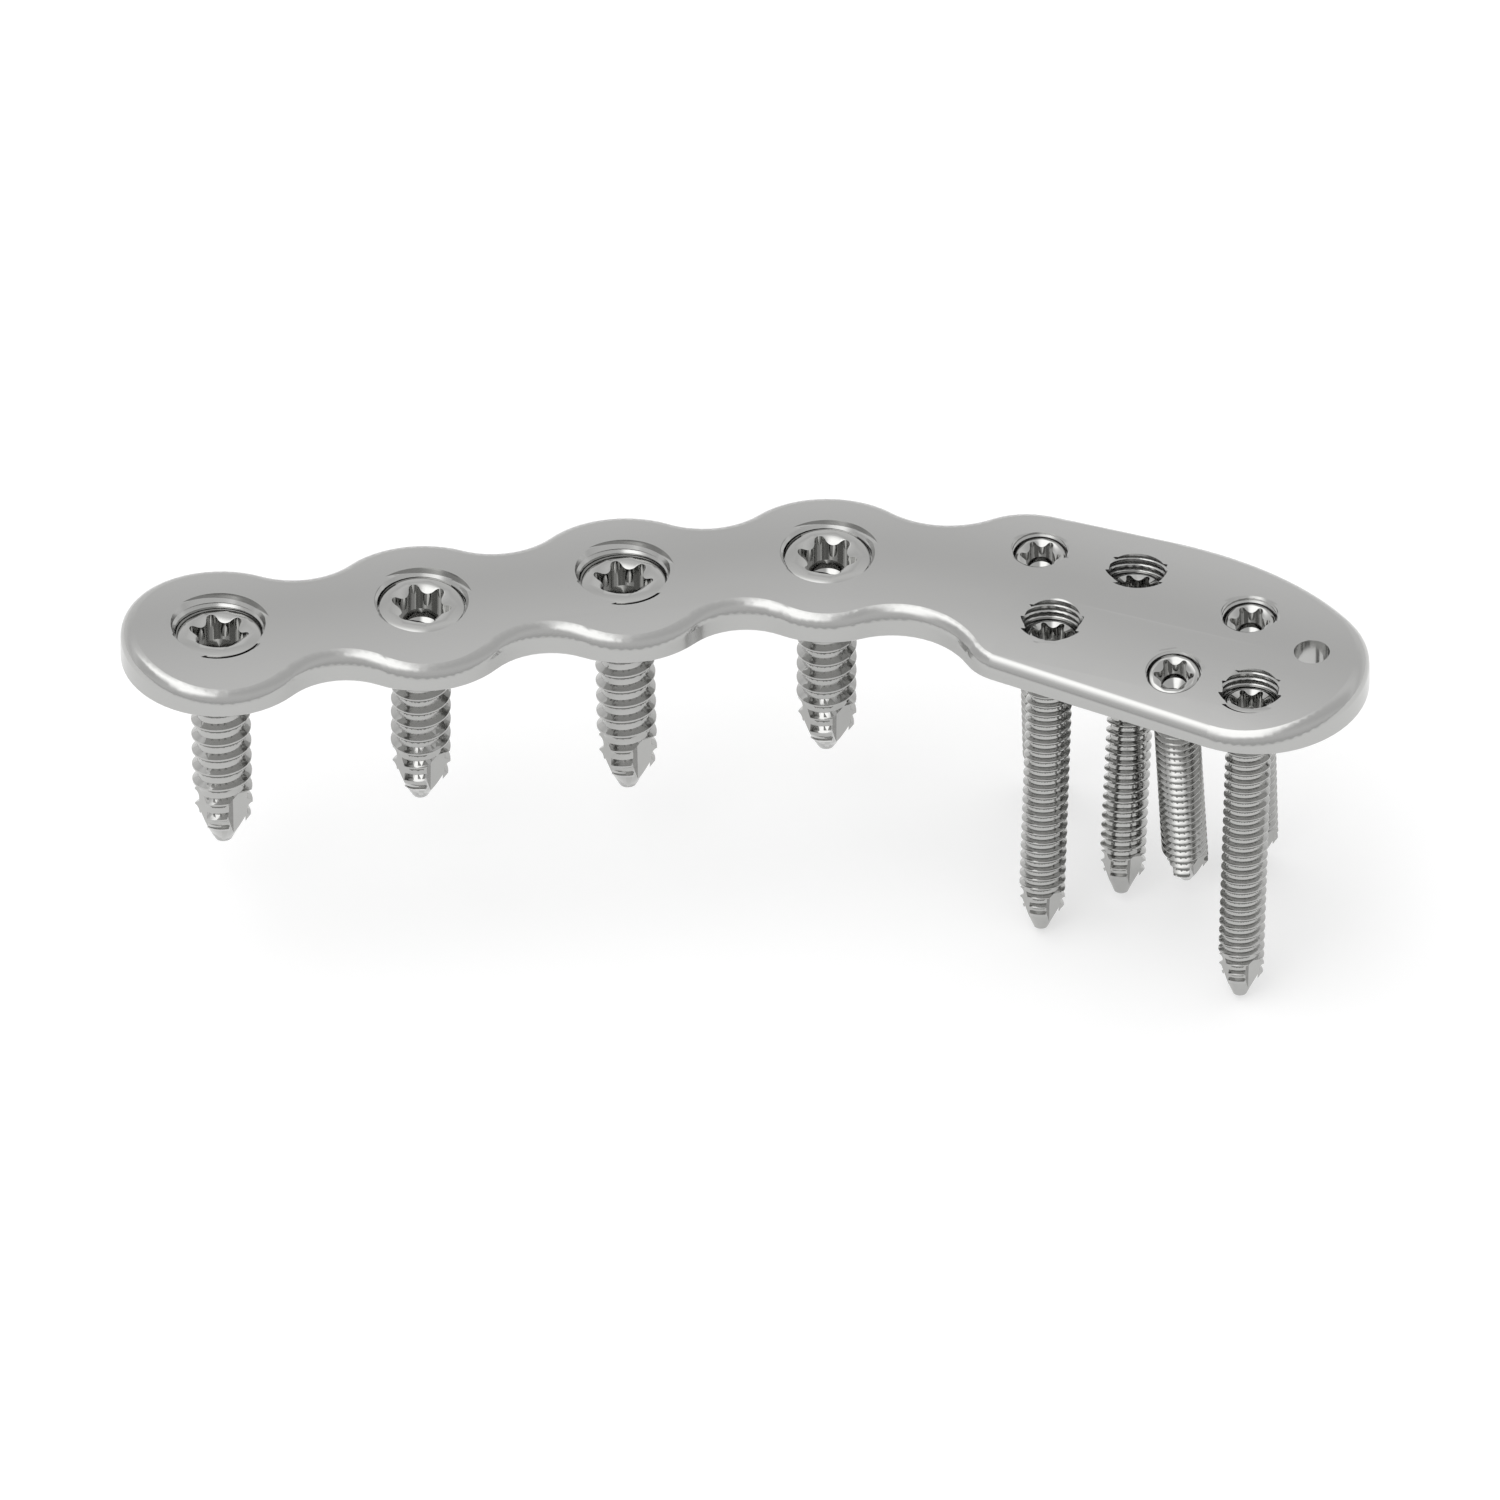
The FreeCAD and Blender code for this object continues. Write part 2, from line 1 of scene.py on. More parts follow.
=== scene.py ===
# %% [markdown]
# # An orthopedic bone plate with its ten locking screws
#
# The real object is a small plate for the outer end of a bone. It is milled
# from one piece of polished steel. Four thick screws hold its narrow, scalloped
# shaft, and six thin ones fan out under its broad head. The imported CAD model
# gives every size and place. This script adds what shows in the photograph: the
# threads, the cut details of the screws, the steel, the light and the camera.

# %% Load the frame
import math

import bpy
from mathutils import Matrix, Vector
from mathutils.bvhtree import BVHTree
from mathutils.geometry import barycentric_transform


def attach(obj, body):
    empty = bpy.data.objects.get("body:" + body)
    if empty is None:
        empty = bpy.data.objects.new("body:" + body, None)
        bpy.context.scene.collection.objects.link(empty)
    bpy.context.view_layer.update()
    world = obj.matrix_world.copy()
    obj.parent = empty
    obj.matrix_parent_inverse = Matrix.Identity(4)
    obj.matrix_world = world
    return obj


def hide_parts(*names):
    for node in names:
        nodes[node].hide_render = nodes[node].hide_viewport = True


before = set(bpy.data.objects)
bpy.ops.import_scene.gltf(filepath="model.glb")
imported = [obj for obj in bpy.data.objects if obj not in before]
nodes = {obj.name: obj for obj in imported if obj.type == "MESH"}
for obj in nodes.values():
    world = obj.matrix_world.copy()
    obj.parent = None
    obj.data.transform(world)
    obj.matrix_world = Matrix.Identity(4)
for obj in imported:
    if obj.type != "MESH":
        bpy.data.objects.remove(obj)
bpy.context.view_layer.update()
# One millimetre in Blender's metres
MM = 0.001
print("CAD nodes:", ", ".join(sorted(nodes)))

# %% [markdown]
# ## Camera
#
# The photograph is a render itself, with no perspective: the bases of the
# screws are as large as the caps at the other end. So the camera is
# orthographic. It looks along +Y from a height of about 40 degrees, and its
# scale comes from the screw threads, which are 17 pixels to the millimetre.

# %% Set the camera
PHOTO_PIXELS = 1500
PIXELS_PER_MM = 17.14
CAMERA_ELEVATION = 39.5
CAMERA_DISTANCE = 400.0
# Point that the middle of the picture shows, in mm
IMAGE_CENTRE = Vector((-32.78, -6.27, 0.0))
# Start of what the camera sees, in metres
CLIP_START = 0.01


def camera_at(centre, elevation):
    """Orthographic camera that looks along +Y and down at the centre."""
    data = bpy.data.cameras.new("photo_camera")
    data.type = "ORTHO"
    data.ortho_scale = PHOTO_PIXELS / PIXELS_PER_MM * MM
    data.clip_start = CLIP_START
    camera = bpy.data.objects.new("photo_camera", data)
    bpy.context.scene.collection.objects.link(camera)
    angle = math.radians(elevation)
    back = Vector((0.0, -math.cos(angle), math.sin(angle)))
    camera.location = (centre + back * CAMERA_DISTANCE) * MM
    camera.rotation_euler = (math.pi / 2 - angle, 0.0, 0.0)
    bpy.context.scene.camera = camera


camera_at(IMAGE_CENTRE, CAMERA_ELEVATION)
print("Camera", CAMERA_ELEVATION, "degrees above the horizon")

# %% [markdown]
# ## Modelling helpers
#
# A machinist thinks in turned blanks, cutters and threads, and the helpers
# below do the same. A turned shape starts as a circle, which is extruded and
# resized from level to level. A cutter is a closed shape that a boolean takes
# away. The work is done in millimetres, and each finished piece is brought to
# metres when it is put in its place.


# %% Helpers for selecting
def start_fresh():
    """Leaves edit mode and deselects all, as operators act on the selection."""
    if bpy.context.object and bpy.context.object.mode != "OBJECT":
        bpy.ops.object.mode_set(mode="OBJECT")
    bpy.ops.object.select_all(action="DESELECT")


def activate(obj):
    """Makes one object the only selected and active one."""
    start_fresh()
    obj.select_set(True)
    bpy.context.view_layer.objects.active = obj


def select_nothing(obj):
    """Clears the selection inside a mesh, before parts of it are selected by place."""
    activate(obj)
    bpy.ops.object.mode_set(mode="EDIT")
    bpy.ops.mesh.select_all(action="DESELECT")
    bpy.ops.object.mode_set(mode="OBJECT")


# %% Helpers for changing a mesh
def apply_modifier(obj, kind, **settings):
    """Adds a modifier with these settings and applies it."""
    activate(obj)
    modifier = obj.modifiers.new(kind.lower(), kind)
    for name, setting in settings.items():
        setattr(modifier, name, setting)
    bpy.ops.object.modifier_apply(modifier=modifier.name)


def combine(obj, tool, operation):
    """Boolean of obj with a closed tool, which is used up."""
    apply_modifier(obj, "BOOLEAN", object=tool, operation=operation, solver="MANIFOLD")
    bpy.data.objects.remove(tool)


def mend_normals(obj):
    """Turns all faces outwards."""
    activate(obj)
    bpy.ops.object.mode_set(mode="EDIT")
    bpy.ops.mesh.select_all(action="SELECT")
    bpy.ops.mesh.normals_make_consistent(inside=False)
    bpy.ops.object.mode_set(mode="OBJECT")


# %% Helpers for placing and repeating
def apply_place(obj):
    """Bakes an object's place, turn and scale into its mesh."""
    activate(obj)
    bpy.ops.object.transform_apply(location=True, rotation=True, scale=True)


def in_a_ring(obj, count):
    """Repeats a cutter round the Z axis and joins the copies into one object."""
    copies = [obj]
    for step in range(1, count):
        twin = obj.copy()
        twin.data = obj.data.copy()
        bpy.context.scene.collection.objects.link(twin)
        twin.matrix_world = Matrix.Rotation(math.tau * step / count, 4, "Z") @ obj.matrix_world
        copies.append(twin)
    start_fresh()
    for part in copies:
        part.select_set(True)
    bpy.context.view_layer.objects.active = obj
    bpy.ops.object.join()
    apply_place(obj)
    return obj


# %% Helper for turned shapes
SIDES = 72


def turned(name, profile, sides=SIDES):
    """Closed turned solid. profile lists (radius, height) from the foot up."""
    start_fresh()
    radius, height = profile[0]
    bpy.ops.mesh.primitive_circle_add(
        vertices=sides, radius=radius, fill_type="NGON", location=(0, 0, height)
    )
    obj = bpy.context.object
    obj.name = name
    bpy.ops.object.transform_apply()
    bpy.ops.object.mode_set(mode="EDIT")
    for next_radius, next_height in profile[1:]:
        rise = (0, 0, next_height - height)
        bpy.ops.mesh.extrude_region_move(TRANSFORM_OT_translate={"value": rise})
        ratio = next_radius / radius
        bpy.ops.transform.resize(value=(ratio, ratio, 1), center_override=(0, 0, next_height))
        radius, height = next_radius, next_height
    bpy.ops.object.mode_set(mode="OBJECT")
    mend_normals(obj)
    return obj


print("Turned shapes have", SIDES, "sides")

# %% Helper for drawn sections
# Size of the small plane that is merged into the first corner
SEED_SIZE = 0.01


def drawn_section(name, corners):
    """Closed line through corners given as (radius, height), drawn by extruding a point."""
    start_fresh()
    start = (corners[0][0], 0, corners[0][1])
    bpy.ops.mesh.primitive_plane_add(size=SEED_SIZE, location=start)
    obj = bpy.context.object
    obj.name = name
    apply_place(obj)
    bpy.ops.object.mode_set(mode="EDIT")
    bpy.ops.mesh.select_all(action="SELECT")
    bpy.ops.mesh.merge(type="CENTER")
    for before, after in zip(corners, corners[1:]):
        step = (after[0] - before[0], 0, after[1] - before[1])
        bpy.ops.mesh.extrude_region_move(TRANSFORM_OT_translate={"value": step})
    bpy.ops.object.mode_set(mode="OBJECT")
    links = {}
    for edge in obj.data.edges:
        for end in edge.vertices:
            links[end] = links.get(end, 0) + 1
    select_nothing(obj)
    for corner in obj.data.vertices:
        corner.select = links[corner.index] == 1
    bpy.ops.object.mode_set(mode="EDIT")
    bpy.ops.mesh.edge_face_add()
    bpy.ops.object.mode_set(mode="OBJECT")
    return obj


# %% Helper for coils
STEPS_PER_TURN = 48


def coil(name, section, pitch, turns):
    """Closed bar that winds up from a closed section, a whole number of turns."""
    obj = drawn_section(name, section)
    apply_modifier(
        obj,
        "SCREW",
        axis="Z",
        angle=math.tau,
        screw_offset=pitch,
        iterations=turns,
        steps=STEPS_PER_TURN,
        render_steps=STEPS_PER_TURN,
    )
    bpy.ops.object.mode_set(mode="EDIT")
    bpy.ops.mesh.select_all(action="SELECT")
    bpy.ops.mesh.fill_holes(sides=0)
    bpy.ops.object.mode_set(mode="OBJECT")
    mend_normals(obj)
    return obj


print("Coils take", STEPS_PER_TURN, "steps for a turn")

# %% [markdown]
# ## Screw sizes
#
# Both kinds of screw are the same design in two sizes, so one set of names
# serves both. The heights are counted from the rim of the cap, with the tip
# at minus the length. All sizes are in millimetres and degrees.

# %% Name the sizes of the two kinds of screw
SHAFT = {
    "length": 14.6,
    "thread_radius": 1.75,
    "core_radius": 1.43,
    "pitch": 1.05,
    "cap_radius": 2.5,
    "cap_face_radius": 2.16,
    "cap_bevel": 0.12,
    "cap_depth": 2.15,
    "cap_taper": 10.0,
    "tip_length": 1.9,
    "tip_radius": 0.5,
    "tip_crown": 0.12,
    "recess_radius": 1.77,
    "lobe_radius": 0.33,
    "valley_radius": 0.6,
    "recess_depth": 1.3,
    "lead_in_radius": 1.74,
    "lead_in_depth": 0.26,
    "pilot_radius": 1.1,
    "pilot_depth": 1.95,
    "drill_point": 0.6,
    "flute_root_radius": 0.86,
    "flute_angle": -33.0,
    "flute_cut_angle": -94.0,
    "flute_clear_angle": 38.0,
    "flute_length": 3.4,
    "flute_runout": 1.5,
    "seat_height": 1.93,
    "spin": -23.8,
    "lean_heading": 10.8,
}
HEAD = {
    "length": 19.7,
    "thread_radius": 1.35,
    "core_radius": 1.1,
    "pitch": 0.6,
    "cap_radius": 1.54,
    "cap_face_radius": 1.34,
    "cap_bevel": 0.1,
    "cap_depth": 1.85,
    "cap_taper": 5.0,
    "tip_length": 1.6,
    "tip_radius": 0.4,
    "tip_crown": 0.1,
    "recess_radius": 1.18,
    "lobe_radius": 0.2,
    "valley_radius": 0.48,
    "recess_depth": 0.95,
    "lead_in_radius": 1.2,
    "lead_in_depth": 0.22,
    "pilot_radius": 0.76,
    "pilot_depth": 1.35,
    "drill_point": 0.4,
    "flute_root_radius": 0.66,
    "flute_angle": -41.0,
    "flute_cut_angle": -102.0,
    "flute_clear_angle": 30.0,
    "flute_length": 2.4,
    "flute_runout": 1.1,
    "seat_height": 1.6,
    "spin": 4.0,
    "lean_heading": -9.0,
}
print("Shaft screw", SHAFT["length"], "mm long, head screw", HEAD["length"], "mm long")

# %% [markdown]
# ## Threads
#
# A thread is a bar that winds round a core. A bone screw's thread is a thin fin:
# steep on the side that faces the cap, and hollow below, where it runs out into
# the core. Its section is drawn by extruding a point from corner to corner, and
# the Screw modifier sweeps it. A turned envelope trims the bar to the cone of
# the tip, and a union joins it to the core. A displaced cylinder would need far
# more faces for the same sharp crest.

# %% Name the corners of the fin
# Parts of one pitch that the crest and its two flanks take
CREST_SHARE = 0.13
LOWER_FLANK_SHARE = 0.4
UPPER_FLANK_SHARE = 0.18
HOLLOW_STEPS = 4
# How deep the foot sinks into the core, as a part of the fin's height
FOOT_SINK = 0.3
# How far the sunk foot reaches down and up, as parts of the flanks
FOOT_DOWN = 1.05
FOOT_UP = 1.1
# The crest's bulge, flat, set-back and upper edge, as parts of half its height
CREST_BULGE = 0.1
CREST_FLAT = 0.5
CREST_SET_BACK = 1.2
CREST_TOP = 1.4


def thread_section(size, height):
    """Corners of the fin: sunk foot, hollow lower flank, narrow crest, steep upper flank."""
    core = size["core_radius"]
    crest = size["thread_radius"]
    sunk = core - FOOT_SINK * (crest - core)
    half_crest = 0.5 * CREST_SHARE * size["pitch"]
    lower = LOWER_FLANK_SHARE * size["pitch"]
    upper = UPPER_FLANK_SHARE * size["pitch"]
    corners = [(sunk, -half_crest - FOOT_DOWN * lower)]
    for step in range(HOLLOW_STEPS + 1):
        turn = 0.5 * math.pi * step / HOLLOW_STEPS
        radius = core + (crest - core) * (1 - math.cos(turn))
        corners.append((radius, -half_crest - lower * (1 - math.sin(turn))))
    rim = crest + CREST_BULGE * half_crest
    top = CREST_TOP * half_crest
    corners.append((rim, -CREST_FLAT * half_crest))
    corners.append((rim, CREST_FLAT * half_crest))
    corners.append((crest - CREST_SET_BACK * half_crest, top))
    corners.append((core, top + upper))
    corners.append((sunk, top + FOOT_UP * upper))
    return [(radius, height + level) for radius, level in corners]


print("The fin's section has", len(thread_section(SHAFT, 0)), "corners")

# %% Model a threaded blank
NECK_LENGTH = 0.25
# Parts of the tip's radius: at its very end, and where the thread starts
TIP_END_SHARE = 0.6
THREAD_START_SHARE = 0.8
# Where the thread starts, in crowns above the tip, and ends, in neck lengths
THREAD_START_CROWNS = 2
THREAD_END_NECKS = 0.4


def threaded_blank(name, size):
    """Turned cap and core with the thread wound round the core."""
    tip = -size["length"]
    cap_foot = size["cap_radius"] - size["cap_depth"] * math.tan(math.radians(size["cap_taper"]))
    cone_top = tip + size["tip_length"]
    neck = -size["cap_depth"] - NECK_LENGTH
    blank = turned(
        name,
        [
            (TIP_END_SHARE * size["tip_radius"], tip),
            (size["tip_radius"], tip + size["tip_crown"]),
            (size["core_radius"], cone_top),
            (size["core_radius"], neck),
            (cap_foot, -size["cap_depth"]),
            (size["cap_radius"], 0),
            (size["cap_face_radius"], size["cap_bevel"]),
        ],
    )
    thread_start = tip + THREAD_START_CROWNS * size["tip_crown"]
    envelope = turned(
        "thread_envelope",
        [
            (THREAD_START_SHARE * size["tip_radius"], thread_start),
            (size["thread_radius"], cone_top),
            (size["thread_radius"], neck + THREAD_END_NECKS * NECK_LENGTH),
        ],
    )
    pitch = size["pitch"]
    turns = math.ceil((neck - tip) / pitch) + 1
    thread = coil("thread", thread_section(size, tip - pitch / 2), pitch, turns)
    combine(thread, envelope, "INTERSECT")
    combine(blank, thread, "UNION")
    return blank


# %% [markdown]
# ## Driver recess
#
# The driver recess has six lobes, a conical lead-in that catches the light, and
# a drilled pilot below it. The lobed outline is drawn as round lobes and round
# valleys that touch, and the corners of a circle are resized until they lie on
# it. Cutting it from small cylinders would leave slivers where the arcs touch.

# %% Measure the outline of the recess
LOBES = 6


def lobed_radius(size, angle):
    """Radius of the recess outline at an angle from the middle of a lobe."""
    half = math.pi / LOBES
    lobe, valley = size["lobe_radius"], size["valley_radius"]
    lobe_place = size["recess_radius"] - lobe
    reach = lobe + valley
    valley_place = lobe_place * math.cos(half)
    valley_place += math.sqrt(reach**2 - (lobe_place * math.sin(half)) ** 2)
    touch_x = lobe_place + (valley_place * math.cos(half) - lobe_place) * lobe / reach
    touch_y = valley_place * math.sin(half) * lobe / reach
    if angle < math.atan2(touch_y, touch_x):
        across = lobe_place * math.sin(angle)
        return lobe_place * math.cos(angle) + math.sqrt(lobe**2 - across**2)
    across = valley_place * math.sin(half - angle)
    return valley_place * math.cos(half - angle) - math.sqrt(valley**2 - across**2)


for size in (SHAFT, HEAD):
    print("Valleys of the recess at", round(lobed_radius(size, math.pi / LOBES), 3), "mm")

# %% Model the lobed cutter
LOBE_STEPS = 10
# How far a cutter reaches past what it cuts, in mm
PAST = 0.5
# Corners within this angle of each other count as in line, in radians
IN_LINE = 0.001


def lobed_cutter(size):
    """Bar with the six-lobed outline: a circle, resized corner by corner."""
    floor = size["cap_bevel"] - size["recess_depth"]
    start_fresh()
    bpy.ops.mesh.primitive_circle_add(
        vertices=LOBE_STEPS * 2 * LOBES, radius=1, fill_type="NGON", location=(0, 0, floor)
    )
    bar = bpy.context.object
    bar.name = "lobed_bar"
    apply_place(bar)
    for step in range(LOBE_STEPS + 1):
        angle = step * math.pi / LOBES / LOBE_STEPS
        select_nothing(bar)
        for corner in bar.data.vertices:
            heading = math.atan2(corner.co.y, corner.co.x) % (math.tau / LOBES)
            from_lobe = min(heading, math.tau / LOBES - heading)
            corner.select = abs(from_lobe - angle) < IN_LINE
        ratio = lobed_radius(size, angle)
        bpy.ops.object.mode_set(mode="EDIT")
        bpy.ops.transform.resize(value=(ratio, ratio, 1), center_override=(0, 0, floor))
        bpy.ops.object.mode_set(mode="OBJECT")
    bpy.ops.object.mode_set(mode="EDIT")
    bpy.ops.mesh.select_all(action="SELECT")
    rise = (0, 0, size["recess_depth"] + PAST)
    bpy.ops.mesh.extrude_region_move(TRANSFORM_OT_translate={"value": rise})
    bpy.ops.object.mode_set(mode="OBJECT")
    mend_normals(bar)
    return bar


# %% Cut the recess, the pilot and the lead-in
DRILL_TIP_RADIUS = 0.02
# Radius at which the lead-in's cone ends below, as a part of the pilot's
CONE_FOOT_SHARE = 0.9


def cut_recess(screw, size):
    """Cuts the lobed recess, its drilled pilot and its conical lead-in."""
    face = size["cap_bevel"]
    combine(screw, lobed_cutter(size), "DIFFERENCE")
    pilot_floor = face - size["pilot_depth"]
    pilot = turned(
        "pilot",
        [
            (DRILL_TIP_RADIUS, pilot_floor - size["drill_point"]),
            (size["pilot_radius"], pilot_floor),
            (size["pilot_radius"], face + PAST),
        ],
    )
    combine(screw, pilot, "DIFFERENCE")
    waist = lobed_radius(size, math.pi / LOBES)
    slope = size["lead_in_depth"] / (size["lead_in_radius"] - waist)
    foot = CONE_FOOT_SHARE * size["pilot_radius"]
    lead_in = turned(
        "lead_in",
        [
            (foot, face - slope * (size["lead_in_radius"] - foot)),
            (size["lead_in_radius"], face),
            (size["lead_in_radius"] + PAST / slope, face + PAST),
        ],
    )
    combine(screw, lead_in, "DIFFERENCE")


# %% [markdown]
# ## Flutes
#
# Three flutes at the tip let the screw cut its own thread. Each is a wedge taken
# out of the thread, which runs out upwards. A three-sided cylinder is scaled to
# the wedge's two angles, moved so that its edge lies at the root of the flute,
# and its upper face is extruded outwards.

# %% Model the cutter of a flute
FLUTES = 3
# Length of the wedge's sides, in thread radii
WEDGE_SIDE = 2
# A face looks up when its normal rises by more than this
LOOKS_UP = 0.9


def flute_cutter(size):
    """Three-sided wedge of one flute, which leans outwards at its upper end."""
    spread = math.radians(size["flute_clear_angle"] - size["flute_cut_angle"]) / 2
    side = WEDGE_SIDE * size["thread_radius"]
    depth = side * math.cos(spread)
    half_width = side * math.sin(spread)
    low = -size["length"] - PAST
    high = -size["length"] + size["flute_length"]
    start_fresh()
    bpy.ops.mesh.primitive_cylinder_add(vertices=3, radius=1, depth=high - low)
    wedge = bpy.context.object
    corner_x, corner_y = math.sin(math.tau / 3), 1 - math.cos(math.tau / 3)
    wedge.scale = (half_width / corner_x, depth / corner_y, 1)
    apply_place(wedge)
    wedge.location = (0, -depth / corner_y, (low + high) / 2)
    apply_place(wedge)
    outward = math.radians((size["flute_clear_angle"] + size["flute_cut_angle"]) / 2)
    wedge.rotation_euler.z = outward + math.pi / 2
    root = math.radians(size["flute_angle"])
    way = Vector((math.cos(root), math.sin(root), 0))
    wedge.location = way * size["flute_root_radius"]
    apply_place(wedge)
    select_nothing(wedge)
    for face in wedge.data.polygons:
        face.select = face.normal.z > LOOKS_UP
    bpy.ops.object.mode_set(mode="EDIT")
    runout = way * size["thread_radius"]
    runout.z = size["flute_runout"]
    bpy.ops.mesh.extrude_region_move(TRANSFORM_OT_translate={"value": runout})
    bpy.ops.object.mode_set(mode="OBJECT")
    mend_normals(wedge)
    return wedge


# %% Model a whole screw
def locking_screw(name, size):
    """Finished screw in its own place: cap rim at height 0, tip down."""
    screw = threaded_blank(name, size)
    cut_recess(screw, size)
    combine(screw, in_a_ring(flute_cutter(size), FLUTES), "DIFFERENCE")
    mend_normals(screw)
    return screw


print("Screw design ready, with", FLUTES, "flutes")

# %% [markdown]
# ## Place the screws
#
# Each hole leans its screw its own way, so that the six head screws fan out and
# hold more bone. Every copy gets a mesh of its own, and its place is baked in.
# Some caps are screwed in deeper than others. A screw that sits deeper is
# modelled that much shorter, so that its tip stays where it is in the CAD model.

# %% List the places of the screws
# Place in the plate, lean in degrees, and how far the cap is screwed in below flush
SHAFT_PLACES = [
    (-63.765, 2.388, -5.8, 0.18),
    (-51.944, 4.728, 1.5, 0.06),
    (-40.175, 7.316, -5.8, 0.18),
    (-28.27, 9.18, 1.5, 0.06),
]
HEAD_PLACES = [
    (-15.85, 9.67, 7.1, 0.08),
    (-10.2, 7.47, -17.8, 0.3),
    (-15.18, 2.98, -12.0, 0.3),
    (-3.62, 3.65, 6.5, 0.08),
    (-8.06, -1.28, 14.0, 0.08),
    (-3.59, -3.24, -11.6, 0.3),
]


def seat_matrix(size, x, y, lean):
    """Place of a screw: at its seat, leaned about the lean heading, then spun."""
    turn = Matrix.Rotation(math.radians(size["lean_heading"]), 4, "Z")
    turn = turn @ Matrix.Rotation(math.radians(lean), 4, "X")
    turn = turn @ Matrix.Rotation(math.radians(size["spin"]), 4, "Z")
    place = Matrix.Translation(Vector((x, y, size["seat_height"])) * MM)
    return place @ turn @ Matrix.Scale(MM, 4)


print("Places:", len(SHAFT_PLACES), "in the shaft and", len(HEAD_PLACES), "in the head")

# %% Copy the screws into their holes
SCREW_SMOOTH_ANGLE = 32.0


def screw_models(kind, size, places):
    """One model for each depth at which a cap sits."""
    models = {}
    for x, y, lean, sunk in places:
        if sunk not in models:
            model_size = {**size, "length": size["length"] - sunk}
            models[sunk] = locking_screw(f"{kind}_screw_model", model_size)
            print(kind, "screw sunk by", sunk, "mm:", len(models[sunk].data.polygons), "faces")
    return models


def put_screws(kind, size, places):
    """A screw for each hole, in place of its CAD node."""
    models = screw_models(kind, size, places)
    pieces = []
    for number, (x, y, lean, sunk) in enumerate(places, start=1):
        piece = models[sunk].copy()
        piece.data = models[sunk].data.copy()
        piece.name = f"{kind}_screw_{number}_detail"
        bpy.context.scene.collection.objects.link(piece)
        piece.matrix_world = seat_matrix(size, x, y, lean) @ Matrix.Translation((0, 0, -sunk))
        apply_place(piece)
        bpy.ops.object.shade_smooth_by_angle(angle=math.radians(SCREW_SMOOTH_ANGLE))
        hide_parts(f"{kind}_screw_{number}")
        pieces.append(piece)
    for model in models.values():
        bpy.data.objects.remove(model)
    return pieces


screws = put_screws("shaft", SHAFT, SHAFT_PLACES)
screws += put_screws("head", HEAD, HEAD_PLACES)
print("Screws placed:", len(screws))

# %% [markdown]
# ## Threaded holes in the plate
#
# The caps lock into threads cut in the plate. What shows of them are two or
# three sharp grooves above each cap, the flared lead-in of the tap round the
# four shaft holes, and the crescent where its last turn runs out of the crown.
# The CAD plate stays as it is, and a copy of it, merged by distance, is cut by a
# coil for each hole. The groove is a saw tooth: its sloping side faces up and
# mirrors the light.

# %% Make the thread cutters of the holes
# Radius of the wall, depth and height of a groove, pitch, lowest turn, and turns
SHAFT_HOLE = {"wall": 2.6, "depth": 0.22, "rise": 0.22, "pitch": 0.46, "from": -0.6, "turns": 4}
HEAD_HOLE = {"wall": 1.62, "depth": 0.25, "rise": 0.21, "pitch": 0.34, "from": -0.5, "turns": 6}
HOLE_TURN = 60.0
# Small steps that keep the cutter's corners apart, in mm
GROOVE_STEP = 0.02


def hole_coil(hole):
    """Cutter for the thread of one hole. It starts inside the hole, so the groove is open."""
    inner = hole["wall"] - hole["depth"]
    outer = hole["wall"] + hole["depth"]
    low, high = hole["from"], hole["from"] + hole["rise"]
    section = [
        (inner, low - GROOVE_STEP),
        (hole["wall"], low),
        (outer, high),
        (outer, high + GROOVE_STEP),
        (inner, high + 2 * GROOVE_STEP),
    ]
    cutter = coil("hole_thread", section, hole["pitch"], hole["turns"])
    cutter.rotation_euler.z = math.radians(HOLE_TURN)
    apply_place(cutter)
    return cutter


print("Grooves", SHAFT_HOLE["depth"], "mm deep in the shaft,", HEAD_HOLE["depth"], "in the head")

# %% Make the cutters for the mouth of a shaft hole
MOUTH_SIDES = 96
# Radius and height at which the lead-in starts, its widening and its height
LEAD_IN_FOOT = (2.62, 0.08)
LEAD_IN_SLOPE = 0.6
LEAD_IN_HEIGHT = 1.2
RUN_OUT_RADIUS = 3.05
RUN_OUT_THICKNESS = 1
RUN_OUT_HEIGHT = 2.52
RUN_OUT_TILT = 10.0
RUN_OUT_HEADING = 65.0


def lead_in_cone():
    """Flared cutter above the seat of a shaft hole."""
    radius, height = LEAD_IN_FOOT
    top = (radius + LEAD_IN_SLOPE * LEAD_IN_HEIGHT, height + LEAD_IN_HEIGHT)
    return turned("lead_in", [(radius, height), top], MOUTH_SIDES)


def run_out_cutter(x, y):
    """Tilted disc that dips into the crown at one side of a shaft hole."""
    levels = [(RUN_OUT_RADIUS, 0), (RUN_OUT_RADIUS, RUN_OUT_THICKNESS)]
    disc = turned("run_out", levels, MOUTH_SIDES)
    heading = math.radians(SHAFT["lean_heading"] + RUN_OUT_HEADING)
    turn = Matrix.Rotation(heading, 4, "Z") @ Matrix.Rotation(math.radians(RUN_OUT_TILT), 4, "Y")
    disc.matrix_world = Matrix.Translation((x, y, RUN_OUT_HEIGHT)) @ turn
    apply_place(disc)
    return disc


print("Lead-in", LEAD_IN_HEIGHT, "mm high, run-out tilted by", RUN_OUT_TILT, "degrees")

# %% Cut the hole threads
# Corners closer than this are merged, in mm
MERGE_DISTANCE = 0.0005


